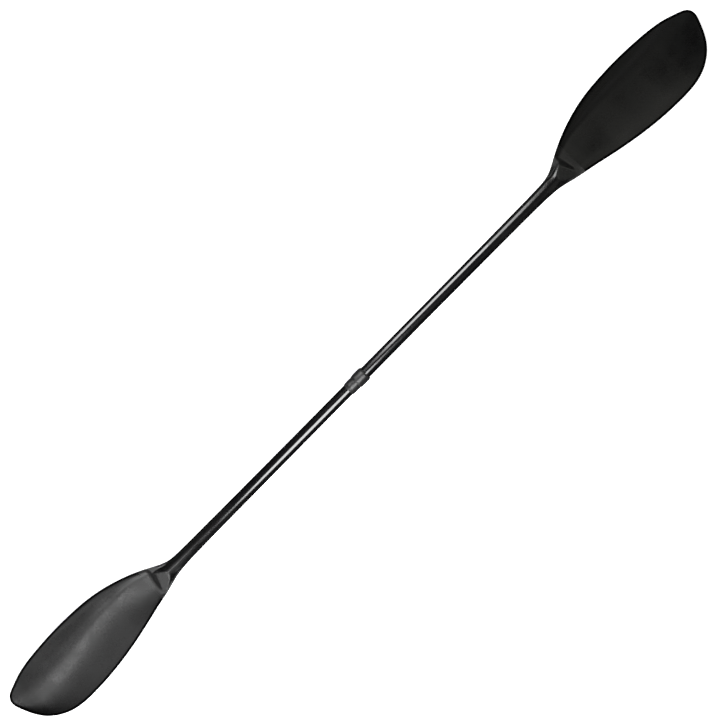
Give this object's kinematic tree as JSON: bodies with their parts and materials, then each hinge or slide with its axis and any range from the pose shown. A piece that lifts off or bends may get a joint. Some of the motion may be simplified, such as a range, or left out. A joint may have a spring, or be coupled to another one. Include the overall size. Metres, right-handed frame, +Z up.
{
  "type": "double-bladed kayak paddle",
  "caption": "Two-piece double-bladed paddle with scooped asymmetric carbon blades and a telescopic ferrule that a twist collar clamps, so its length and blade angle can be set.",
  "frame": {"origin": "on the plane the blade backs rest on, under the middle of the object's box, halfway between the two blade tips with the ferrule pushed home", "axes": "+X along the shaft from the female half's blade to the male half's blade, +Y towards both blades' leading edges, +Z up, the way both power faces look"},
  "size_m": [2.2, 0.1667, 0.0452],
  "materials": {
    "carbon_face": "satin",
    "carbon_edge": "satin",
    "carbon_shaft": "gloss",
    "collar_plastic": "matte",
    "nylon_dark": "satin",
    "nylon_pale": "satin",
    "seal_rubber": "matte",
    "foam": "matte",
    "glass_fibre": "satin"
  },
  "bodies": {
    "female_half": {"left_power_face_skin": "carbon_face", "left_back_face_skin": "carbon_face", "left_foam_core": "foam", "left_edge_rim": "carbon_edge", "left_blade_neck": "carbon_face", "left_shaft_plug": "foam", "female_shaft_tube": "carbon_shaft", "female_bulkhead_plug": "foam", "ferrule_guide_sleeve": "glass_fibre", "threaded_end_sleeve": "nylon_dark"},
    "lock_collar": {"lock_collar": "collar_plastic", "wiper_seal": "seal_rubber"},
    "clamp_collet": {"clamp_collet": "nylon_pale"},
    "male_half": {"ferrule_tube": "carbon_shaft", "ferrule_bond_sleeve": "glass_fibre", "ferrule_end_plug": "nylon_dark", "male_shaft_tube": "carbon_shaft", "right_shaft_plug": "foam", "right_blade_neck": "carbon_face", "right_power_face_skin": "carbon_face", "right_back_face_skin": "carbon_face", "right_foam_core": "foam", "right_edge_rim": "carbon_edge"}
  },
  "joints": [
    {"name": "collar_twist", "type": "hinge", "parent": "female_half", "child": "lock_collar", "pos_m": [-0.0147, -0.00942, 0.02759], "axis": [1, 0, 0], "range_deg": [0, 120]},
    {"name": "feather_turn", "type": "hinge", "parent": "female_half", "child": "clamp_collet", "pos_m": [-0.0047, -0.00942, 0.02759], "axis": [1, 0, 0], "continuous": true},
    {"name": "length_slide", "type": "slide", "parent": "clamp_collet", "child": "male_half", "axis": [1, 0, 0], "range_m": [0, 0.1]}
  ]
}
